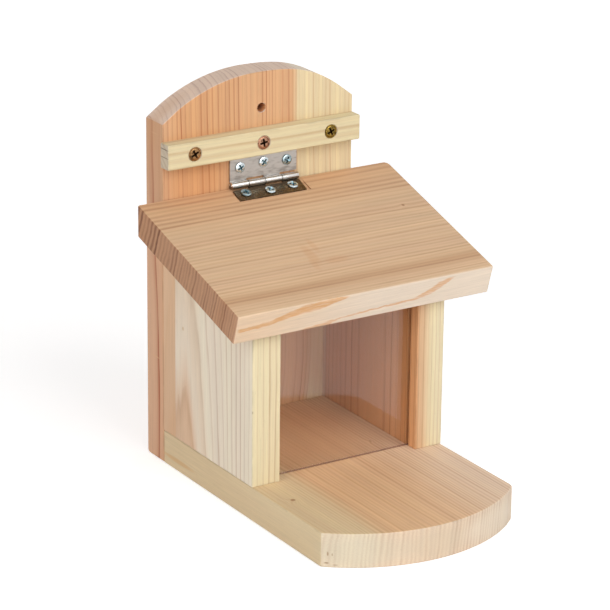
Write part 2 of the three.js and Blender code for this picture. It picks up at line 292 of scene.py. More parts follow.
def prism(name, outline, stand, start, end, start_round=0.0, end_round=0.0, steps=EASE_STEPS, growth=0.0):
    """An outline drawn out from start to end, with rounded ends. Corners ease more by growth at the start."""
    rings = []
    for at, radius, way in ((start, start_round, 1), (end, end_round, -1)):
        turns = [k / steps * pi / 2 for k in range(steps + 1)]
        for turn in turns if way > 0 else reversed(turns):
            inward = 1 - sin(turn)
            edge = eased(inset(outline, radius * inward), growth * inward if way > 0 else 0.0)
            height = at + way * radius * (1 - cos(turn))
            rings.append([(p.x, p.y, height) for p in edge])
    return rings_to_mesh(name, rings, stand)


def lathe(name, profile, stand, steps=LATHE_STEPS):
    """(radius, z) points from the tip up, spun round Z. The first and last lie on the axis."""
    shape = bmesh.new()
    loops = []
    for radius, z in profile:
        count = steps if radius > 0 else 1
        angles = [tau * i / count for i in range(count)]
        loops.append([
            shape.verts.new(stand @ Vector((radius * cos(a), radius * sin(a), z)))
            for a in angles
        ])
    for low, high in zip(loops, loops[1:]):
        for i in range(steps):
            j = (i + 1) % steps
            corners = [low[i % len(low)], low[j % len(low)], high[j % len(high)], high[i % len(high)]]
            shape.faces.new(list(dict.fromkeys(corners)))
    return to_object(name, shape)


def combine(piece, tools, operation="DIFFERENCE"):
    """Cuts or joins the tools to the piece, and removes them."""
    for tool in tools:
        change = piece.modifiers.new("change", "BOOLEAN")
        change.operation = operation
        change.solver = "EXACT"
        change.object = tool
    graph = bpy.context.evaluated_depsgraph_get()
    mesh = bpy.data.meshes.new_from_object(piece.evaluated_get(graph))
    piece.modifiers.clear()
    piece.data = mesh
    for tool in tools:
        bpy.data.objects.remove(tool)


def dress(piece, material, body, nodes, smooth=35):
    """Gives a finished shape its shading and material, puts it on its body, and hides the parts that it stands
    for.
    """
    mesh = piece.data
    mesh.polygons.foreach_set("use_smooth", [True] * len(mesh.polygons))
    mesh.set_sharp_from_angle(angle=radians(smooth))
    weigh = piece.modifiers.new("weighted_normals", "WEIGHTED_NORMAL")
    weigh.keep_sharp = True
    weigh.weight = 100
    mesh.materials.clear()
    mesh.materials.append(material)
    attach(piece, body)
    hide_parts(*nodes)


def rectangle(low, high, ease=0.0):
    corners = ((low[0], low[1]), (high[0], low[1]), (high[0], high[1]), (low[0], high[1]))
    return [(x, y, ease) for x, y in corners]


def cut_box(low, high, stand=FLAT):
    """A plain box to cut with."""
    return prism("cutter", rectangle(low, high), stand, low[2], high[2], steps=1)


def arched(half_width, corner, rise, foot, right, left, clear=0.0, fuller=0.0):
    """An outline from (0, 0) up to an arc through both corners and a tip above them.

    foot, right and left say how far the lower, right and left corners are eased, and clear is more room for
    that. fuller says how much further out the arc is halfway down its right side.
    """
    radius = (half_width ** 2 + rise ** 2) / (2 * rise)
    spread = asin(half_width / radius)
    points = [(-half_width, 0, foot), (half_width, 0, foot), (half_width, corner, right)]
    room = [1 + ceil((ease + clear) * ARC_STEPS / (2 * half_width)) for ease in (right, left)]
    for k in range(room[0], ARC_STEPS - room[1] + 1):
        turn = spread - 2 * spread * k / ARC_STEPS
        reach = radius + fuller * sin(pi * max(turn, 0) / spread) ** 2
        points.append((reach * sin(turn), corner + rise - radius + reach * cos(turn), 0))
    return points + [(-half_width, corner, left)]


def colour(text):
    """A colour as it looks on a screen, turned into what the nodes take."""
    values = [int(text[i:i + 2], 16) / 255 for i in (0, 2, 4)]
    return (*[v / 12.92 if v <= 0.04045 else ((v + 0.055) / 1.055) ** 2.4 for v in values], 1)


class Graph:
    """A material's or the world's nodes, with short ways to add the kinds that are used here."""

    def __init__(self, name, kind="Material"):
        owners = bpy.data.worlds if kind == "World" else bpy.data.materials
        self.owner = owners.new(name)
        self.owner.use_nodes = True
        self.tree = self.owner.node_tree
        self.tree.nodes.clear()
        self.output = self.add("Output" + kind)

    def feed(self, socket, value):
        """Gives a socket a link or a value. Text is a colour."""
        if isinstance(value, bpy.types.NodeSocket):
            self.tree.links.new(value, socket)
        elif value is not None:
            socket.default_value = colour(value) if isinstance(value, str) else value

    def add(self, kind, inputs=(), **settings):
        node = self.tree.nodes.new("ShaderNode" + kind)
        for key, value in settings.items():
            setattr(node, key, value)
        for key, value in dict(inputs).items():
            self.feed(node.inputs[key], value)
        return node

    def math(self, operation, a, b=None):
        return self.add("Math", {0: a, 1: b}, operation=operation).outputs[0]

    def plus(self, a, b):
        return self.math("ADD", a, b)

    def minus(self, a, b):
        return self.math("SUBTRACT", a, b)

    def times(self, a, b):
        return self.math("MULTIPLY", a, b)

    def over(self, a, b):
        return self.math("DIVIDE", a, b)

    def bell(self, value, width):
        """1 where the value is zero, falling off within about the width on either side."""
        return self.math("EXPONENT", self.times(self.math("POWER", self.over(value, width), 2.0), -1.0))

    def vector(self, x, y, z):
        return self.add("CombineXYZ", {"X": x, "Y": y, "Z": z}).outputs[0]

    def length(self, x, y, z):
        return self.add("VectorMath", {0: self.vector(x, y, z)}, operation="LENGTH").outputs["Value"]

    def noise(self, vector, scale=1.0, detail=2.0, roughness=0.5, dimensions="3D"):
        at = {"W": vector} if dimensions == "1D" else {"Vector": vector}
        node = self.add("TexNoise", {**at, "Scale": scale, "Detail": detail, "Roughness": roughness},
                        noise_dimensions=dimensions)
        return node.outputs[0]

    def spread(self, value, amount):
        """A noise value, centred on zero and scaled."""
        return self.times(self.minus(value, 0.5), amount)

    def step(self, value, low, high, to_low=0.0, to_high=1.0):
        """A smooth step from to_low to to_high between low and high. Swapping low and high turns it round."""
        node = self.add("MapRange", {
            "Value": value, "From Min": low, "From Max": high, "To Min": to_low, "To Max": to_high,
        }, interpolation_type="SMOOTHSTEP")
        return node.outputs[0]

    def ramp(self, factor, stops):
        node = self.add("ValToRGB", {"Fac": factor})
        elements = node.color_ramp.elements
        while len(elements) < len(stops):
            elements.new(0.5)
        for element, (position, value) in zip(elements, stops):
            element.position = position
            element.color = (value, value, value, 1)
        return node.outputs["Color"]

    def mix(self, factor, a, b, blend="MIX"):
        node = self.add("Mix", {"Factor": factor, 6: a, 7: b}, data_type="RGBA", blend_type=blend)
        return node.outputs[2]

    def shade(self, base, factor):
        """A colour times a value."""
        tint = self.add("CombineColor", {"Red": factor, "Green": factor, "Blue": factor}).outputs[0]
        return self.mix(1.0, base, tint, "MULTIPLY")

    def surface(self, kind, inputs):
        shader = self.add(kind, inputs)
        self.tree.links.new(shader.outputs[0], self.output.inputs["Surface"])
        return self.owner


# Which of x, y, z run across the grain, and which along it
GRAIN = {"X": (1, 2, 0), "Y": (0, 2, 1), "Z": (0, 1, 2)}

# How dark a ring is from its start to its end: narrow late wood, broad late wood, and thin lines
RING_PROFILES = {
    "thin": [(0.0, 0.25), (0.08, 0.0), (0.6, 0.03), (0.8, 0.35), (0.92, 1.0), (1.0, 0.6)],
    "even": [(0.0, 0.5), (0.2, 0.05), (0.4, 0.08), (0.62, 0.6), (0.8, 1.0), (1.0, 0.5)],
    "fine": [(0.0, 0.15), (0.06, 0.0), (0.7, 0.03), (0.85, 0.55), (0.93, 1.0), (1.0, 0.5)],
}

# Noise in the wood: its size across the grain and along it, and a shift that tells one kind from another
FIGURE = {
    "wave": (50, 190, 0.0),
    "wobble": (7, 70, 3.0),
    "heart edge": (22, 120, 5.0),
    "depth": (14, 60, 9.0),
    "blotch": (26, 90, 11.0),
    "fibre": (0.55, 24, 13.0),
    "streak": (1.5, 95, 15.0),
    "fleck": (0.45, 5, 17.0),
    "wear": (5, 14, 21.0),
}
PORE_SIZE = 0.7


class Softwood(Graph):
    """Wood as a solid, in millimetres, so that all faces of a board agree."""

    def __init__(self, name, grain, seed):
        super().__init__(name)
        self.seed = seed
        self.place = self.add("TexCoord").outputs
        scaled = self.add("VectorMath", {0: self.place["Object"], "Scale": 1 / MM}, operation="SCALE")
        self.parts = self.add("SeparateXYZ", {"Vector": scaled.outputs[0]}).outputs
        self.axes = GRAIN[grain]
        self.a, self.b, self.along = (self.parts[i] for i in self.axes)

    def figure(self, kind, **settings):
        """Noise drawn out along the grain."""
        across, along, shift = FIGURE[kind]
        moved = self.plus(self.over(self.along, along), self.seed + shift)
        place = self.vector(self.over(self.a, across), self.over(self.b, across), moved)
        return self.noise(place, **settings)

    def near(self, spot, size):
        """How far the surface is from a spot, in the spot's own sizes along x, y and z."""
        return self.length(*[self.over(self.minus(p, s), r) for p, s, r in zip(self.parts, spot, size)])


def pith_distance(g, pith, rings, wave, lean):
    """The distance to the pith, bent by slow waves and by a lean of the trunk."""
    radius = g.length(g.minus(g.a, pith[0]), g.minus(g.b, pith[1]), 0.0)
    radius = g.plus(radius, g.spread(g.figure("wave", detail=1.0), wave * 2))
    radius = g.plus(radius, g.spread(g.figure("wobble"), rings * 0.45))
    if lean:
        amount, middle_height, low, high = lean
        share = g.times(g.step(g.b, low, high), amount)
        radius = g.plus(radius, g.times(share, g.minus(g.along, middle_height)))
    return radius


def round_knots(g, radius, knots, bends):
    """Swells the rings round each knot and bend, and says where the knots are."""
    mask = 0.0
    for knot in (*knots, *bends):
        spot, size, swell = knot
        away = g.near(spot, (size, size, size))
        radius = g.plus(radius, g.times(g.bell(away, 2.4), swell))
        if knot in knots:
            mask = g.math("MAXIMUM", mask, g.step(away, 1.15, 0.5))
    return radius, mask


def ring_lines(g, radius, rings, uneven, narrowing, profile, faintest, calm):
    """How strong the late wood is, from 0 to 1. Rings differ in width and in depth."""
    shift = g.noise(g.over(radius, rings * 6), detail=1.0, dimensions="1D")
    grown = g.plus(radius, g.spread(shift, rings * uneven))
    if narrowing:
        start, amount = narrowing
        past = g.minus(radius, start)
        squared = g.math("POWER", g.math("ABSOLUTE", past), 2.0)
        squared = g.times(squared, g.math("SIGN", past))
        grown = g.plus(grown, g.times(squared, amount))
    count = g.over(grown, rings)
    line = g.ramp(g.math("FRACT", count), RING_PROFILES[profile])
    chance = g.add("TexWhiteNoise", {"W": g.math("FLOOR", count)}, noise_dimensions="1D")
    line = g.times(line, g.step(chance.outputs["Value"], 0.0, 1.0, faintest, 1.0))
    line = g.times(line, g.step(g.figure("depth"), 0.25, 0.6, 0.6, 1.0))
    if calm:
        low, high, share = calm
        line = g.times(line, g.step(radius, low, high, 1.0, share))
    return line


def heart_and_sap(g, radius, heart, sap, border, blur, tints):
    """Heartwood inside and sapwood outside, with some rings tinted. Also how much is sapwood."""
    edge = g.plus(radius, g.spread(g.figure("heart edge"), blur))
    sapwood = g.step(edge, border - blur, border + blur)
    base = g.mix(sapwood, heart, sap)
    for at, width, tint, strength in tints:
        share = g.bell(g.minus(radius, at), width)
        base = g.mix(g.times(share, strength), base, tint)
    return base, sapwood


def late_wood(g, base, line, strip, late, strength):
    """Strips of rings are pinker or yellower, and each ring ends in late wood."""
    pink = g.mix(1.0, base, "fffaf7", "MULTIPLY")
    yellow = g.mix(1.0, base, "fffdf8", "MULTIPLY")
    base = g.mix(g.step(strip, 0.3, 0.7), pink, yellow)
    return g.mix(g.times(line, strength), base, g.mix(1.0, base, late, "MULTIPLY"))


def face_tone(g, blotch, fibre, strip, streak, stripe):
    """How much lighter or darker the face is for its blotches, fibres, streaks, strips and flecks."""
    streaks = g.spread(g.figure("streak", detail=3.0, roughness=0.6), streak)
    tone = g.plus(g.spread(blotch, 0.13), g.plus(g.spread(fibre, 0.3), streaks))
    tone = g.plus(tone, g.spread(strip, stripe))
    fleck = g.step(g.figure("fleck", detail=1.0), 0.66, 0.76)
    return g.minus(tone, g.times(fleck, 0.08))


def end_grain(g, base, line, blotch, strip, end, late, late_strength, strength):
    """End grain is duller and shows pores instead of fibres."""
    normal = g.add("SeparateXYZ", {"Vector": g.place["Normal"]}).outputs[g.axes[2]]
    on_end = g.step(g.math("ABSOLUTE", normal), 0.35, 0.75)
    pores = g.vector(g.over(g.a, PORE_SIZE), g.over(g.b, PORE_SIZE), 0.0)
    tone = g.plus(g.spread(strip, 0.14), g.spread(blotch, 0.1))
    tone = g.plus(g.spread(g.noise(pores, detail=3.0), 0.3), tone)
    shown = g.shade(g.mix(0.25, end, base), g.plus(tone, 1.0))
    darker = g.mix(1.0, shown, late, "MULTIPLY")
    shown = g.mix(g.times(line, late_strength), shown, darker)
    return g.mix(g.times(on_end, strength), base, shown)


def worn_edges(g, base, box):
    """Arrises that handling has dulled."""
    gaps = [g.math("MINIMUM", g.minus(p, low / MM), g.minus(high / MM, p))
            for p, low, high in zip(g.parts, *box)]
    inner = g.math("MINIMUM", g.math("MAXIMUM", gaps[0], gaps[1]), gaps[2])
    second = g.math("MAXIMUM", g.math("MINIMUM", gaps[0], gaps[1]), inner)
    worn = g.times(g.step(second, 1.3, 0.2), g.step(g.figure("wear"), 0.4, 0.65))
    return g.shade(base, g.minus(1.0, g.times(worn, 0.16)))


def wood(name, grain, pith, rings, border, heart, sap, late, end, seed, wave, blur,
         late_strength, end_strength=0.75, end_late=0.3, end_line="a5764a", sap_fade=0.3, streak=0.14,
         stripe=0.12, uneven=3.4, faintest=0.3, profile="thin", lean=None, narrowing=None, calm=None,
         bands=(), tints=(), knots=(), bends=(), marks=(), painters=(), last=(), box=None):
    """A board's material. pith is where the rings' middle lies across the grain, and rings their spacing.

    border is the radius where the sapwood begins. box says where the arrises of a level board are.
    """
    g = Softwood(name, grain, seed)
    radius = pith_distance(g, pith, rings, wave, lean)
    radius, knot_mask = round_knots(g, radius, knots, bends)
    line = ring_lines(g, radius, rings, uneven, narrowing, profile, faintest, calm)
    base, sapwood = heart_and_sap(g, radius, heart, sap, border, blur, tints)
    line = g.times(line, g.minus(1.0, g.times(sapwood, sap_fade)))
    strip = g.noise(g.plus(g.over(radius, rings * 2.3), seed), detail=2.0, dimensions="1D")
    base = late_wood(g, base, line, strip, late, late_strength)
    for paint, *settings in painters:
        base = paint(g, base, *settings)
    blotch = g.figure("blotch", detail=3.0)
    fibre = g.figure("fibre", detail=3.0, roughness=0.65)
    tone = face_tone(g, blotch, fibre, strip, streak, stripe)
    for at, width, depth in bands:
        tone = g.minus(tone, g.times(g.bell(g.minus(radius, at), width), depth))
    base = g.shade(base, g.plus(tone, 1.0))
    base = end_grain(g, base, line, blotch, strip, end, end_line, end_late, end_strength)
    if knots:
        base = g.mix(g.times(knot_mask, 0.75), base, "96623a")
    for spot, size, tint, strength in marks:
        base = g.mix(g.times(g.step(g.near(spot, size), 1.1, 0.4), strength), base, tint)
    if box:
        base = worn_edges(g, base, box)
    for paint, *settings in last:
        base = paint(g, base, *settings)
    height = g.plus(g.times(fibre, 0.7), g.times(line, 0.35))
    bump = g.add("Bump", {"Strength": 0.35, "Distance": 0.12 * MM, "Height": height})
    rough = g.plus(g.times(fibre, 0.12), 0.56)
    return g.surface("BsdfPrincipled", {
        "Base Color": base, "Roughness": rough, "Normal": bump.outputs[0], "Specular IOR Level": 0.35,
    })


def into_lid(g):
    """Depth below the lid's top face, and distance in from its front face, in millimetres."""
    y = g.minus(g.parts[1], LID_FRONT_EDGE[0])
    z = g.minus(g.parts[2], LID_FRONT_EDGE[1])
    depth = g.minus(g.times(y, sin(LID_SLOPE)), g.times(z, cos(LID_SLOPE)))
    inward = g.plus(g.times(y, cos(LID_SLOPE)), g.times(z, sin(LID_SLOPE)))
    return depth, inward


def pale_face(g, base, left, right):
    """The lid's front lies along the rings, so it shows one pale layer with long faint waves."""
    depth, inward = into_lid(g)
    bent = g.plus(depth, g.times(g.parts[0], 0.06))
    wave = g.noise(g.vector(g.over(g.parts[0], 60), g.over(bent, 2.2), 1.0), detail=3.0)
    pale = g.mix(g.step(g.parts[0], -80, 20), left, right)
    pale = g.shade(pale, g.plus(g.spread(wave, 0.2), 1.0))
    mask = g.times(g.step(inward, 1.5, 0.7), g.step(depth, -0.2, 0.7))
    return g.mix(mask, base, pale)


def beyond(g, base, axis, start, full, tint, strength, blend="MIX"):
    """Another tint along an axis from start to full and beyond: a strip, or one face of a board."""
    waver = g.noise(g.vector(1.0, 2.0, g.over(g.parts[2], 50)))
    at = g.plus(g.parts["xyz".index(axis)], g.spread(waver, 1.2 * abs(full - start)))
    share = g.step(at, start, full) if full > start else g.step(at, full, start, 1.0, 0.0)
    return g.mix(g.times(share, strength), base, tint, blend)


def painted_bore_shade(g, base, dark, light):
    """The wall of the hanging hole, darker at its upper left than at its lower right: painted shade and painted
    light.
    """
    front = BACK[0].y / MM
    x, z = g.minus(g.parts[0], HANG_HOLE[0] / MM), g.minus(g.parts[2], HANG_HOLE[1] / MM)
    away = g.length(x, 0.0, z)
    rim = HANG_HOLE_RADIUS / MM
    share = g.times(g.step(away, rim + 0.6, rim + 0.2), g.step(g.parts[1], front + 0.3, front + 1.2))
    tint = g.mix(g.step(g.minus(x, z), -1.5, 2.5), dark, light)
    return g.mix(g.times(share, 0.95), base, tint)


def flame(g, base, points, tint):
    """A tongue of darker wood on the lid's front."""
    low_x, high_x = points[0][0], points[-1][0]
    scale = 20.0
    depth, inward = into_lid(g)
    x = g.parts[0]
    along = g.over(g.minus(x, low_x), high_x - low_x)

    def curve(column):
        stops = [((p[0] - low_x) / (high_x - low_x), p[column] / scale) for p in points]
        return g.times(g.ramp(along, stops), scale)

    frayed = g.noise(g.vector(g.over(x, 5), g.over(depth, 0.9), 0.0), detail=4.0)
    away = g.math("ABSOLUTE", g.minus(depth, g.plus(curve(1), g.spread(frayed, 2.4))))
    mask = g.step(g.over(away, curve(2)), 1.2, 0.6)
    inside = g.times(g.step(along, -0.01, 0.03), g.step(along, 1.01, 0.95))
    mask = g.times(g.times(mask, inside), g.step(inward, 2.4, 1.0))
    light = g.noise(g.vector(g.over(x, 7), g.over(depth, 0.8), 3.0), detail=3.0)
    mask = g.times(mask, g.step(light, 0.35, 0.75, 1.0, 0.5))
    return g.mix(mask, base, tint)


SCRATCH_SCALE = (60, 1600, 1600)


def metal(name, tint, stain_and_painted_reflection, rough, grime=0.5, mottle=0.2, barrel=None, limit=0.6, soft=0.16,
          smear=(700, 700, 700)):
    """Plated metal, scratched, smudged and stained. By a barrel a leaf is dirtier, and its roll is bright, with
    its lower half painted dark: a painted reflection of the wood below.
    """
    g = Graph(name)
    place = g.add("TexCoord").outputs["Object"]
    scratched = g.add("Mapping", {"Vector": place, "Scale": SCRATCH_SCALE}).outputs[0]
    scratches = g.noise(scratched, detail=3.0, roughness=0.7)
    smudge = g.noise(place, scale=260.0, detail=3.0)
    dots = g.noise(g.add("Mapping", {"Vector": place, "Scale": smear}).outputs[0], detail=2.0)
    rolled = 0.0
    if barrel:
        offset = g.add("VectorMath", {0: place, 1: barrel}, operation="SUBTRACT").outputs[0]
        parts = g.add("SeparateXYZ", {"Vector": offset}).outputs
        away = g.length(0.0, parts[1], parts[2])
        rolled = g.step(away, 2.6 * MM, 2.2 * MM)
        dots = g.plus(dots, g.times(g.step(away, 8.5 * MM, 4 * MM), 0.17))
        dots = g.plus(dots, g.spread(smudge, 0.35))
        dots = g.times(dots, g.minus(1.0, g.times(rolled, 0.45)))
    stained = g.times(g.step(dots, limit, limit + soft), grime)
    base = g.mix(stained, tint, stain_and_painted_reflection)
    if barrel:
        base = g.mix(g.times(rolled, 0.9), base, "d6d2cd")
        # The roll's lower half takes the dark colour: painted reflection of the wood below
        painted_reflection_below = g.times(rolled, g.step(parts[2], 0.5 * MM, -0.5 * MM))
        base = g.mix(g.times(painted_reflection_below, 0.75), base, stain_and_painted_reflection)
    base = g.shade(base, g.plus(g.spread(smudge, mottle), 1.0))
    roughness = g.plus(g.plus(g.spread(scratches, 0.1), g.spread(smudge, 0.12)), rough)
    roughness = g.plus(roughness, g.times(stained, 0.15))
    roughness = g.times(roughness, g.minus(1.0, g.times(rolled, 0.6)))
    bump = g.add("Bump", {"Strength": 0.2, "Distance": 0.02 * MM, "Height": scratches})
    return g.surface("BsdfPrincipled", {
        "Base Color": base, "Metallic": 1.0, "Roughness": roughness, "Normal": bump.outputs[0],
    })


def clear_plastic():
    """A thin clear sheet: each face mirrors as much as such plastic does, and the cut edges are painted dark:
    painted shade.
    """
    g = Graph("clear_plastic")
    place = g.add("TexCoord").outputs
    facing = g.add("LayerWeight", {"Blend": 0.5}).outputs["Facing"]
    mirror = g.plus(g.times(g.math("POWER", facing, 5.0), 0.95), 0.042)
    wiped = g.add("Mapping", {"Vector": place["Object"], "Scale": (40, 40, 9), "Rotation": (0, 0.5, 0)})
    haze = g.step(g.noise(wiped.outputs[0], detail=2.0, roughness=0.5), 0.3, 0.8)
    rough = g.plus(g.times(haze, 0.03), 0.02)
    across = g.add("SeparateXYZ", {"Vector": place["Normal"]}).outputs[1]
    on_edge = g.step(g.math("ABSOLUTE", across), 0.85, 0.5)
    alpha = g.plus(mirror, g.times(haze, 0.01))
    alpha = g.plus(alpha, g.times(on_edge, 0.4))
    # The cut edges get a dark, half-opaque colour: painted shade
    base = g.mix(on_edge, "fff8f4", "8f6560")
    metallic = g.minus(1.0, on_edge)
    return g.surface("BsdfPrincipled", {
        "Base Color": base, "Metallic": metallic, "Roughness": rough, "Alpha": alpha,
    })


# The flames on the lid's front: x, depth below the top, and half width there, in millimetres
UPPER_FLAME = ((-79, 9.9, 1.1), (-59, 8.4, 1.5), (-46, 5.4, 2.1), (-37, 3.6, 2.9), (-24, 2.6, 2.6),
               (-8, 0.9, 0.5))
LOWER_FLAME = ((-37, 17.6, 0.4), (-28, 17.4, 1.2), (-20, 16.6, 1.5), (-13, 14.8, 0.5), (13, 13.1, 0.6),
               (37, 12.0, 0.9), (46, 9.2, 2.2), (52, 6.2, 2.6), (58, 3.4, 1.6), (63, 1.6, 0.4))

# Marks are a place, a size along x, y and z, a tint and its strength. Knots and bends are a place, a size and
# how far they swell the rings. Tints are a radius, a width, a tint and its strength, and bands are a radius,
# a width and how much they darken.
BACK_WOOD = wood(
    "wood_back", "Z", pith=(-120, 114), rings=2.9, border=147.3, heart="d6aa81", sap="e0cfa9",
    late="c37a55", end="e6d9cf", end_late=0.45, seed=1.3, wave=2.5, blur=2.5, late_strength=1.0,
    sap_fade=0.55, stripe=0.2, faintest=0.2, tints=((55, 10, "d9b197", 0.8), (84, 20, "d19c6c", 0.5)),
    # The hanging hole's wall gets painted shade at its upper left and painted light at its lower right
    bends=(((34, 86, 55), 28, -11),), box=BACK, last=((painted_bore_shade, "571c06", "dd9560"),),
    marks=(
        ((-63.5, 95, 197.4), (1.5, 4.5, 0.4), "e6bf98", 0.6), ((-63.5, 94, 63), (1.5, 5, 0.5), "dcb083", 0.5),
        ((-64.5, 97, 190), (3, 30, 45), "c4946e", 0.4), ((-50, 97, 200), (30, 9, 22), "c9986c", 0.35),
        # The last mark on the next line is painted light on the back's inner face, and the mark after it is
        # painted shade in its inner right corner
        ((-42, 86.1, 168), (22, 1, 14), "d8965f", 0.3), ((18, 86.1, 62), (18, 3, 62), "e6b78d", 0.4),
        ((44, 86.1, 62), (14, 3, 60), "cc9668", 0.55),
    ))
BASE_WOOD = wood(
    "wood_base", "Y", pith=(178.8, -6), rings=2.9, border=216, heart="dfb990", sap="dfc9a2",
    late="bf8f6c", end="e3d9c8", seed=7.7, wave=2.5, blur=7, late_strength=0.6, end_late=0.55,
    end_line="cfa87c", profile="even", uneven=1.6, faintest=0.45, narrowing=(190, 0.0031),
    calm=(155, 180, 0.62), bands=((236, 14, 0.05),), tints=((115, 38, "e4d2c0", 0.75),), box=BASE,
    knots=(((-52.9, -38.7, 20), 1.6, 3.2), ((30.6, 11.2, 20), 0.9, 1.5)),
    painters=((beyond, "x", BASE[0].x / MM + 0.7, BASE[0].x / MM + 0.2, "dfcba6", 0.5),),
    # The next wash makes the base paler towards its right: painted light, for light falling more on the right
    last=((beyond, "x", 5, 45, "efdabc", 0.14),),
    marks=(
        ((-60.5, -86, 8), (0.5, 3, 1.6), "9a6b3e", 0.8), ((-58.6, -87, 7.6), (0.4, 3, 1.2), "9a6b3e", 0.7),
        ((-61, -86, 2.6), (1.3, 3, 0.6), "8f6236", 0.7), ((-57, -88, 1.6), (1.6, 3, 0.5), "9a6b3e", 0.5),
        # The two marks on the next line make the nose paler at its right and darker at its left: painted light
        # falling more on the right
        ((38, -98, 9.5), (36, 26, 10.5), "ece0cc", 0.4), ((-45, -98, 9.5), (36, 26, 10.5), "cbc5ae", 0.3),
        ((-5, -108, 9.5), (25, 10, 10.5), "cfbea2", 0.3), ((-63.5, 70, 6.2), (1.5, 22, 1.8), "cf9f68", 0.55),
        # The next mark lightens the floor inside the box: painted light
        ((2, 38, 20), (50, 50, 2), "f0bd90", 0.5),
    ))
LEFT_WOOD = wood(
    "wood_left", "Z", pith=(26, 64), rings=2.9, border=87.4, heart="dcbda0", sap="ebe1cf",
    late="b5834e", end="d6c3ae", seed=12.1, wave=0.5, blur=0.8, late_strength=0.38, sap_fade=0.1,
    calm=(89.5, 96, 1.9), profile="fine", uneven=0.6, faintest=0.4, lean=(0.035, 121, -10, 40), streak=0.1,
    tints=((89.2, 1.2, "e2cdb4", 0.6),), box=LEFT,
    painters=((beyond, "y", 71.8, 72.8, "d8ae88", 0.85),
              (beyond, "y", LEFT[0].y / MM + 0.8, LEFT[0].y / MM + 0.2, "f8f6e1", 1.0, "MULTIPLY")),
    marks=(((-63.5, 63.5, 90), (0.8, 1.1, 1.5), "c9a468", 0.6),
           ((-63.3, -12.7, 64.7), (0.5, 0.6, 1.1), "a08868", 0.5)))
RIGHT_WOOD = wood(
    "wood_right", "Z", pith=(-10, 34), rings=2.3, border=73.6, heart="dca574", sap="e6dcba",
    late="c58a5e", end="d6c3ae", seed=19.4, wave=0.4, blur=0.5, late_strength=0.7, profile="fine",
    uneven=1.2, faintest=0.4, tints=((74.5, 4.5, "d4a67c", 0.72),), box=RIGHT)
LID_WOOD = wood(
    "wood_lid", "X", pith=(218, 203), rings=4.4, border=258, heart="dabb99", sap="ecdcc6",
    late="b5805a", end="ac7755", seed=4.4, wave=2.5, blur=1.2, late_strength=0.57, streak=0.18,
    end_strength=0.94, end_late=0.95, end_line="7d5233", profile="even", uneven=1.4, faintest=0.35,
    narrowing=(150, 0.0043), calm=(160, 190, 0.7),
    bands=((239, 4.5, 0.08), (196, 4, 0.05), (176, 5, 0.05)),
    tints=((143, 22, "d3a981", 0.75), (239, 5, "c08e62", 0.4)), knots=(((71.6, 43, 147.5), 1.1, 1.2),),
    painters=((pale_face, "e1c5a7", "e4d4c1"), (flame, UPPER_FLAME, "d6a472"),
              (flame, LOWER_FLAME, "d9ad85")),
    marks=(((-9, 15, 139), (4, 14, 6), "cb8f60", 0.25), ((3, 7, 137), (10, 4, 6), "cb8f60", 0.22),
           ((-3, 23, 141), (2.5, 10, 5), "cb8f60", 0.2), ((-12, 6, 137), (2.5, 8, 5), "cb8f60", 0.2)))
BATTEN_WOOD = wood(
    "wood_batten", "X", pith=(120, 140), rings=3.6, border=10, heart="e4c795", sap="dfd4af",
    late="c79462", end="c2b3a4", seed=23.8, wave=2, blur=6, late_strength=0.52, end_strength=0.9,
    stripe=0.22, sap_fade=0.1, profile="even", box=BATTEN,
    marks=(((-64.7, 82, 191.4), (1, 6, 0.4), "54483c", 0.75),
           ((-64.7, 82, 186.6), (1, 6, 0.4), "6b5c4c", 0.7)))

BACK_LEAF_STEEL = metal("hinge_steel", "bdbab6", "716a62", 0.38, grime=0.6, barrel=PIN, limit=0.5, soft=0.35,
                        smear=(170, 600, 600))
# The lid leaf is tinted darker and browner than the back leaf: a painted reflection of the shaded wood that it
# faces
LID_LEAF_STEEL = metal("hinge_steel_painted_reflection", "8c7c66", "52453a", 0.26, grime=0.6, mottle=0.4, barrel=PIN,
                       limit=0.5, soft=0.25, smear=(250, 600, 600))
YELLOW_PLATE = dict(mottle=0.8, limit=0.5, soft=0.12)
ZINC = metal("zinc_plate", "d3dee2", "7d8a90", 0.24, mottle=0.5)
DULL_ZINC = metal("zinc_plate_dull", "9fb0b4", "55646a", 0.26, grime=0.6, mottle=0.6, limit=0.5, soft=0.2)
BRASS = metal("brass_plate", "9c8140", "3d2d14", 0.24, grime=0.75, **YELLOW_PLATE)
COPPER = metal("copper_plate", "b98d72", "4d2c1c", 0.24, grime=0.7, **YELLOW_PLATE)
BRONZE = metal("bronze_plate", "a67f56", "45301c", 0.24, grime=0.7, **YELLOW_PLATE)
# The cross recesses get darker metal of their own: painted shade in the recess
ZINC_RECESS = metal("zinc_recess_painted_shade", "86a0a8", "3a4c54", 0.35)
BRASS_RECESS = metal("brass_recess_painted_shade", "4a2e18", "1d1108", 0.45)
CLEAR = clear_plastic()


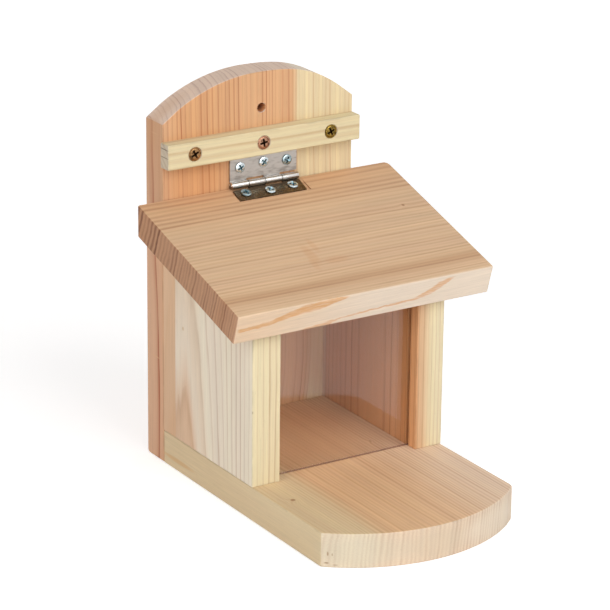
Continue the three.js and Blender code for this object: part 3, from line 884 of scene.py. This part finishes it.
def screw_profile(size):
    """A screw's (radius, z) points in millimetres, from its tip to the top of its head."""
    head, cone, shank, length = size["head"], size["cone"], size["shank"], size["length"]
    dome = max(size["dome"], FLATTEST_DOME)
    profile = [(0, -length), (shank * TIP_WIDTH, -length + TIP_LENGTH * shank)]
    z = -length + PLAIN_LENGTH * shank
    while z < -cone - THREAD_PITCH - PLAIN_LENGTH * shank:
        profile += [(shank * THREAD_ROOT, z), (shank, z + THREAD_PITCH / 2)]
        z += THREAD_PITCH
    profile += [(shank, z), (shank, -cone), (head - HEAD_RIM, -HEAD_RIM * 0.6), (head, 0)]
    face = head - HEAD_RIM
    if "groove" in size:
        profile += [(head * share, height) for share, height in size["groove"]]
        face = head * size["groove"][-1][0]
    for k in range(1, DOME_STEPS):
        angle = k / DOME_STEPS * pi / 2
        profile.append((face * cos(angle), dome * sin(angle) + DOME_LIFT))
    return profile + [(0, dome + DOME_LIFT)]


def cross_recess(size, stand):
    """A tapered cross, to cut a screw's recess with."""
    half, arm = size["slot"] / 2, size["arm"]
    cross = []
    for quarter in range(4):
        for x, y in ((half, half), (half, arm), (-half, arm)):
            p = Matrix.Rotation(quarter * pi / 2, 2) @ Vector((x, y))
            cross.append((p.x * MM, p.y * MM))
    levels = ((RECESS_TAPER, -size["deep"]), (1, 0.4), (1, 3))
    rings = [[(x * wide, y * wide, z * MM) for x, y in cross] for wide, z in levels]
    return rings_to_mesh("cutter", rings, stand)


def screw(node, kind, stand, turn, materials, body):
    """turn is in degrees. materials are the head's and its recess's; the recess's is darker, as painted shade.
    """
    size = SCREWS[kind]
    spun = stand @ spin(radians(turn), "Z")
    piece = lathe(node + "_shape", [(r * MM, z * MM) for r, z in screw_profile(size)], spun)
    combine(piece, [cross_recess(size, spun)])
    dress(piece, materials[0], body, [node], 30)
    piece.data.materials.append(materials[1])
    unspun = spun.inverted()
    for face in piece.data.polygons:
        at = unspun @ face.center
        face.material_index = int(at.xy.length < size["arm"] * MM and -1.2 * size["deep"] * MM < at.z < 0)


def seat(node):
    """Where a screw is sunk in a board: the middle of its box, on the board's face, pointing into it."""
    _, axis, level, way = FACES[node.split("_")[0]]
    at = middle(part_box(node))
    at[axis] = level
    return Matrix.Translation(at) @ way


def countersinks(family):
    """What the screws whose names start with that word leave in their board's face."""
    size = SCREWS[FACES[family][0]]
    wide, deep = (size["head"] + HEAD_GAP) * MM, size["cone"] * MM
    rim = -abs(size["rise"]) * MM
    profile = [(0, rim - deep), (wide - deep, rim - deep), (wide, rim), (wide + size["flare"] * MM, 1 * MM),
               (0, 1 * MM)]
    nodes = [node for node in TURNS if node.startswith(family)]
    return [lathe("cutter", profile, seat(node), CUTTER_STEPS) for node in nodes]


def sunk_screws():
    plates = {"batten_screw_left": BRONZE, "batten_screw_middle": COPPER}
    for node, turn in TURNS.items():
        kind = FACES[node.split("_")[0]][0]
        stand = seat(node) @ Matrix.Translation((0, 0, SCREWS[kind]["rise"] * MM))
        screw(node, kind, stand, turn, (plates.get(node, BRASS), BRASS_RECESS), "box")


def back_board():
    half = (BACK[1].x - BACK[0].x) / 2
    outline = arched(half, BACK[1].z - ARCH_RISE, ARCH_RISE, BOARD_EASE, BOARD_EASE, BOARD_EASE,
                     clear=ARCH_ROOM, fuller=ARCH_FULLER)
    piece = prism("back_board_wood", outline, FACING_FRONT, -BACK[1].y, -BACK[0].y, BACK_REAR_ROUND,
                  BACK_FRONT_ROUND, ROUND_STEPS, BACK_REAR_GROWTH)
    profile = [(0, -30 * MM), (HANG_HOLE_RADIUS, -30 * MM), (HANG_HOLE_RADIUS, -HANG_RIM_DEPTH),
               (HANG_RIM_RADIUS, 0.1 * MM), (HANG_RIM_RADIUS, 5 * MM), (0, 5 * MM)]
    stand = Matrix.Translation((HANG_HOLE[0], BACK[0].y, HANG_HOLE[1])) @ POINTS_BACK
    combine(piece, [lathe("cutter", profile, stand, CUTTER_STEPS), *countersinks("back")])
    dress(piece, BACK_WOOD, "box", ["back_board"])


def platform_base():
    half = (BASE[1].x - BASE[0].x) / 2
    outline = arched(half, BASE[1].y - BASE[0].y - NOSE_DEPTH, NOSE_DEPTH, BOARD_EASE,
                     right=NOSE_RIGHT_CORNER, left=NOSE_LEFT_CORNER)
    stand = Matrix.Translation((0, BASE[1].y, BASE[1].z)) @ spin(pi, "X")
    thick = BASE[1].z - BASE[0].z
    piece = prism("platform_base_wood", outline, stand, 0, thick, BASE_TOP_ROUND, BASE_UNDER_ROUND)
    combine(piece, countersinks("base"))
    dress(piece, BASE_WOOD, "box", ["platform_base"])


def side_panel(name, box, way, material):
    """way is -1 for the left panel and 1 for the right one."""
    low, high = box
    front_top = high.z - (high.y - low.y) * tan(LID_SLOPE)
    corners = ((low.y, low.z), (high.y, low.z), (high.y, high.z), (low.y, front_top))
    outline = [(y, z, PANEL_ROUND) for y, z in corners]
    piece = prism(name + "_wood", outline, ON_ITS_SIDE, low.x, high.x, PANEL_ROUND, PANEL_ROUND)
    inner = low.x if way > 0 else high.x
    near, far = sorted((inner - way * 5 * MM, inner + way * GROOVE_DEPTH))
    groove = cut_box((near, PANE[0].y - GROOVE_FRONT_GAP, low.z - 5 * MM),
                     (far, PANE[1].y + GROOVE_REAR_GAP, high.z + 9 * MM))
    combine(piece, [groove])
    dress(piece, material, "box", [name])


def clear_pane():
    outline = rectangle((PANE[0].x, PANE[0].z), (PANE[1].x, PANE[1].z), PANE_CORNER)
    piece = prism("clear_pane_sheet", outline, FACING_FRONT, -PANE[1].y, -PANE[0].y, PANE_ROUND, PANE_ROUND)
    dress(piece, CLEAR, "pane", ["clear_pane"])


def stop_batten():
    outline = rectangle((BATTEN[0].x, BATTEN[0].z), (BATTEN[1].x, BATTEN[1].z), BOARD_EASE)
    piece = prism("stop_batten_wood", outline, FACING_FRONT, -BATTEN[1].y, -BATTEN[0].y, BATTEN_REAR_ROUND,
                  BATTEN_FRONT_ROUND)
    combine(piece, countersinks("batten"))
    dress(piece, BATTEN_WOOD, "box", ["stop_batten"])


def lid_board():
    cosine, tangent = cos(LID_SLOPE), tan(LID_SLOPE)
    fall = LID[1].z - LID[0].z
    run = LID[1].y - LID[0].y
    # The box's height is the top's fall plus the front face's, and its depth is the top's run
    thick = (fall - run * tangent) / cosine
    length = run / cosine
    outline = [(LID[0].x, -length, BOARD_EASE), (LID[1].x, -length, BOARD_EASE),
               (LID[1].x, 0, LID_REAR_RIGHT_CORNER), (LID[0].x, 0, LID_REAR_LEFT_CORNER)]
    piece = prism("lid_wood", outline, FLAT, -thick, 0, BOARD_EASE, BOARD_EASE)
    # The rear end is cut plumb, to lie along the back board
    for vertex in piece.data.vertices:
        near = min(max((vertex.co.y + PLUMB_START) / (PLUMB_START - PLUMB_END), 0), 1)
        vertex.co.y += vertex.co.z * tangent * near
        vertex.co = LID_TOP @ vertex.co
    low = (-HINGE_HALF - MORTISE_MARGIN, -LID_LEAF_WIDTH - MORTISE_MARGIN, -BARREL - MORTISE_BELOW)
    high = (HINGE_HALF + MORTISE_RIGHT, 5 * MM, 8 * MM)
    combine(piece, [cut_box(low, high, LID_LEAF)])
    dress(piece, LID_WOOD, "lid", ["lid_board"])


def knuckle(leaf, start, end):
    """The leaf's strip rolled round the pin, with a narrow seam between its end and the leaf."""
    sweep = 1.5 * pi + asin((BARREL_HOLE - SEAM) / BARREL)
    strip = -SLOT_DEPTH - LEAF_THICK
    turns = [sweep * i / KNUCKLE_STEPS - pi / 2 for i in range(KNUCKLE_STEPS + 1)]
    outside = [(BARREL * cos(t), BARREL * sin(t), 0) for t in turns]
    inside = [(BARREL_HOLE * cos(t), BARREL_HOLE * sin(t), 0) for t in reversed(turns)]
    outline = [(strip, -BARREL, 0), *outside, *inside, (strip, -BARREL_HOLE, 0)]
    stand = leaf @ ON_ITS_SIDE
    return prism("knuckle", outline, stand, start, end, KNUCKLE_ROUND, KNUCKLE_ROUND, SMALL_STEPS)


def leaf_screw_spot(width, word, z):
    side = SIDES[word]
    away = width - LEAF_SCREW_INSET + (MIDDLE_STEP if side == 0 else 0)
    return Vector((side * (HINGE_HALF - LEAF_SCREW_END), -away, z))


def hinge_leaf(node, leaf, width, first, way, body, material):
    """first is the leaf's first knuckle. way is -1 for the back leaf, whose own x runs to the left."""
    outline = rectangle((-HINGE_HALF, -width), (HINGE_HALF, -SLOT_DEPTH), LEAF_CORNER)
    piece = prism(node + "_plate", outline, leaf, -BARREL, -BARREL_HOLE, LEAF_ROUND, LEAF_ROUND, SMALL_STEPS)
    pitch = 2 * HINGE_HALF / KNUCKLES
    rolls = []
    for i in range(first, KNUCKLES, 2):
        start = -HINGE_HALF + i * pitch
        low = start + (KNUCKLE_GAP / 2 if i > 0 else 0)
        high = start + pitch - (KNUCKLE_GAP / 2 if i < KNUCKLES - 1 else 0)
        rolls.append(knuckle(leaf, *sorted((way * low, way * high))))
    combine(piece, rolls, "UNION")
    size = SCREWS["leaf"]
    wide = (size["head"] - size["rise"] + 0.5) * MM
    hole = size["shank"] * MM + HEAD_GAP * MM
    profile = [(0, -3 * MM), (hole, -3 * MM), (hole, -1 * MM), (wide, 0), (wide, 2 * MM), (0, 2 * MM)]
    tools = []
    for word in SIDES:
        spot = leaf_screw_spot(width, word, -BARREL_HOLE)
        tools.append(lathe("cutter", profile, leaf @ Matrix.Translation(spot), CUTTER_STEPS))
    combine(piece, tools)
    dress(piece, material, body, [node], 30)


def leaf_screws(prefix, leaf, width, body, turns, way, dull):
    """way is as for the leaf. dull says which of the three screws has the duller, darker zinc."""
    for word, turn in zip(SIDES, turns):
        spot = leaf_screw_spot(width, word, SCREWS["leaf"]["rise"] * MM - BARREL_HOLE)
        spot.x *= way
        plate = DULL_ZINC if word == dull else ZINC
        stand = leaf @ Matrix.Translation(spot)
        screw(f"{prefix}_{word}", "leaf", stand, turn, (plate, ZINC_RECESS), body)


def hinge_pin():
    half = HINGE_HALF - PIN_SHORTER
    across, along = PIN_CHAMFER
    profile = [(0, -half), (PIN_RADIUS - across, -half), (PIN_RADIUS, -half + along),
               (PIN_RADIUS, half - along), (PIN_RADIUS - across, half), (0, half)]
    stand = Matrix.Translation(middle(HINGE)) @ spin(pi / 2, "Y")
    dress(lathe("hinge_pin_rod", profile, stand), BACK_LEAF_STEEL, "box", ["hinge_pin"], 30)


def light(name, way, distance, size, power):
    """A soft lamp, given by the direction from the object towards it."""
    data = bpy.data.lights.new(name, "AREA")
    data.shape = "RECTANGLE"
    data.size, data.size_y = size
    data.energy = power
    lamp = put(name, data)
    direction = Vector(way).normalized()
    lamp.location = CAMERA_TARGET + direction * distance
    lamp.rotation_euler = direction.to_track_quat("Z", "Y").to_euler()


def surroundings():
    """White where the camera or a mirror looks, and dimmer as light on the object."""
    g = Graph("studio", "World")
    bpy.context.scene.world = g.owner
    rays = g.add("LightPath").outputs
    mirrored = g.math("MAXIMUM", rays["Is Glossy Ray"], rays["Is Transmission Ray"])
    seen = g.math("MAXIMUM", rays["Is Camera Ray"], mirrored)
    strength = g.add("MapRange", {"Value": seen, "To Min": AMBIENT, "To Max": 1.0}).outputs[0]
    g.surface("Background", {"Color": (1, 1, 1, 1), "Strength": strength})


def floor_material():
    """White to the camera. It glows more far off, where no lamp reaches, and takes a shadow near by."""
    g = Graph("floor")
    rays = g.add("LightPath").outputs
    place = g.add("TexCoord").outputs["Object"]
    away = g.add("VectorMath", {0: place}, operation="LENGTH").outputs["Value"]
    seen = g.times(rays["Is Camera Ray"], g.step(away, *FLOOR_GLOW_DISTANCES, *FLOOR_GLOW))
    mirrored = g.math("MAXIMUM", rays["Is Glossy Ray"], rays["Is Transmission Ray"])
    mirrored = g.times(mirrored, FLOOR_GLOW_MIRRORED)
    paint = g.add("BsdfDiffuse", {"Color": (0.86, 0.85, 0.85, 1)})
    glow = g.add("Emission", {"Color": (1, 1, 1, 1), "Strength": g.math("MAXIMUM", seen, mirrored)})
    return g.surface("AddShader", {0: paint.outputs[0], 1: glow.outputs[0]})


def studio():
    surroundings()
    corners = [(x * FLOOR_REACH, y * FLOOR_REACH) for x, y in ((-1, -1), (1, -1), (1, 1), (-1, 1))]
    floor = rings_to_mesh("floor", [[(x, y, z) for x, y in corners] for z in FLOOR_LEVELS])
    floor.data.materials.append(floor_material())
    for name, settings in LAMPS.items():
        light(name, *settings)


def camera():
    turn, lift, roll = (radians(v) for v in (CAMERA_AZIMUTH, CAMERA_ELEVATION, CAMERA_ROLL))
    back = Vector((-sin(turn) * cos(lift), -cos(turn) * cos(lift), sin(lift)))
    level = Vector((cos(turn), -sin(turn), 0))
    upright = back.cross(level)
    right = cos(roll) * level + sin(roll) * upright
    up = cos(roll) * upright - sin(roll) * level
    data = bpy.data.cameras.new("camera")
    data.lens = CAMERA_LENS
    data.sensor_width = CAMERA_SENSOR
    data.clip_end = 50
    eye = put("camera", data)
    place = Matrix.Translation(CAMERA_TARGET + back * CAMERA_DISTANCE)
    eye.matrix_world = place @ Matrix((right, up, back)).transposed().to_4x4()
    bpy.context.scene.camera = eye


camera()
back_board()
platform_base()
side_panel("left_side_panel", LEFT, -1, LEFT_WOOD)
side_panel("right_side_panel", RIGHT, 1, RIGHT_WOOD)
clear_pane()
stop_batten()
lid_board()
hinge_leaf("hinge_back_leaf", BACK_LEAF, BACK_LEAF_WIDTH, 0, -1, "box", BACK_LEAF_STEEL)
hinge_leaf("hinge_lid_leaf", LID_LEAF, LID_LEAF_WIDTH, 1, 1, "lid", LID_LEAF_STEEL)
hinge_pin()
sunk_screws()
leaf_screws("hinge_back_screw", BACK_LEAF, BACK_LEAF_WIDTH, "box", (25, 50, 70), -1, "right")
leaf_screws("hinge_lid_screw", LID_LEAF, LID_LEAF_WIDTH, "lid", (10, 40, 75), 1, "left")
studio()
bpy.context.scene.view_settings.view_transform = "Standard"
